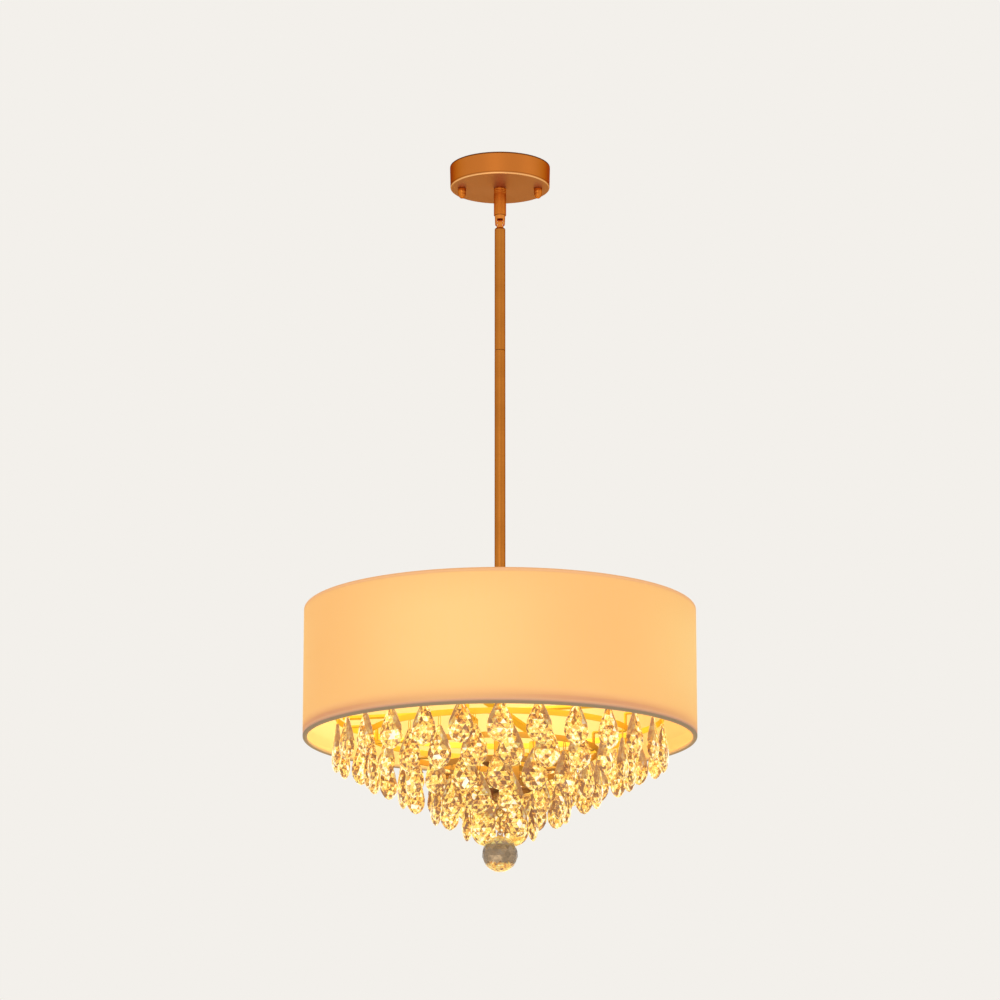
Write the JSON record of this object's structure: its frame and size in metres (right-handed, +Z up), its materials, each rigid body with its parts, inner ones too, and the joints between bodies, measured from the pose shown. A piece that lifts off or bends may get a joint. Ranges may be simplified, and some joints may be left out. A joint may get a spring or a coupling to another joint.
{
  "type": "drum chandelier",
  "caption": "Round fabric drum shade on a ceiling rod with a swivel, over stepped tiers of faceted crystal drops that end in a crystal ball.",
  "frame": {"origin": "middle of the mounting bar's top face, which lies against the ceiling", "axes": "+Z up to the ceiling, +X to the right and -Y to the front as the picture shows it"},
  "size_m": [0.4572, 0.4572, 0.8514],
  "materials": {
    "gold": "satin gold lacquer",
    "steel": "zinc-plated",
    "fabric": "fine off-white linen on a translucent liner",
    "socket": "matte",
    "bulb": "clear, warm light",
    "crystal": "clear faceted crystal"
  },
  "bodies": {
    "base": {"mounting_bar": "steel", "canopy_stud_left": "steel", "canopy_stud_right": "steel", "stud_nut_left": "steel", "stud_nut_right": "steel", "cap_nut_left": "gold", "cap_nut_right": "gold", "canopy": "gold", "canopy_lock_nut": "steel", "canopy_nipple": "steel", "swivel_collar": "gold"},
    "swivel": {"swivel_yoke": "gold", "swivel_pin": "gold"},
    "lamp": {"swivel_stem": "gold", "upper_rod": "gold", "rod_coupler": "steel", "lower_rod": "gold", "shade_hub": "gold", "centre_tube": "steel", "shade_spider": "gold", "shade_fabric": "fabric", "shade_bottom_ring": "steel", "spider_lock_nut": "steel", "upper_spacer": "gold", "socket_cluster": "gold", "socket_arm_1": "steel", "socket_arm_2": "steel", "socket_arm_3": "steel", "socket_arm_4": "steel", "lamp_socket_1": "socket", "lamp_socket_2": "socket", "lamp_socket_3": "socket", "lamp_socket_4": "socket", "bulb_1": "bulb", "bulb_2": "bulb", "bulb_3": "bulb", "bulb_4": "bulb", "lower_spacer": "gold", "frame_cross": "gold", "frame_spacer": "gold", "frame_rib_1": "gold", "frame_rib_2": "gold", "frame_rib_3": "gold", "frame_rib_4": "gold", "frame_base_plate": "gold", "crystal_tier_1": "crystal", "crystal_tier_2": "crystal", "crystal_tier_3": "crystal", "crystal_tier_4": "crystal", "crystal_tier_5": "crystal", "finial": "gold"},
    "ball_hook": {"ball_hook": "gold"},
    "ball": {"crystal_ball": "crystal"}
  },
  "joints": [
    {"name": "swivel_turn", "type": "hinge", "parent": "base", "child": "swivel", "pos_m": [0, 0, -0.0613], "axis": [0, 0, 1], "range_deg": [-175, 175]},
    {"name": "swivel_tilt", "type": "hinge", "parent": "swivel", "child": "lamp", "pos_m": [0, 0, -0.07], "axis": [1, 0, 0], "range_deg": [-45, 45]},
    {"name": "hook_swing", "type": "hinge", "parent": "lamp", "child": "ball_hook", "pos_m": [0, 0, -0.7776], "axis": [1, 0, 0], "range_deg": [-15, 15]},
    {"name": "ball_swing", "type": "hinge", "parent": "ball_hook", "child": "ball", "pos_m": [0, 0, -0.8065], "axis": [0, 1, 0], "range_deg": [-20, 20]}
  ]
}
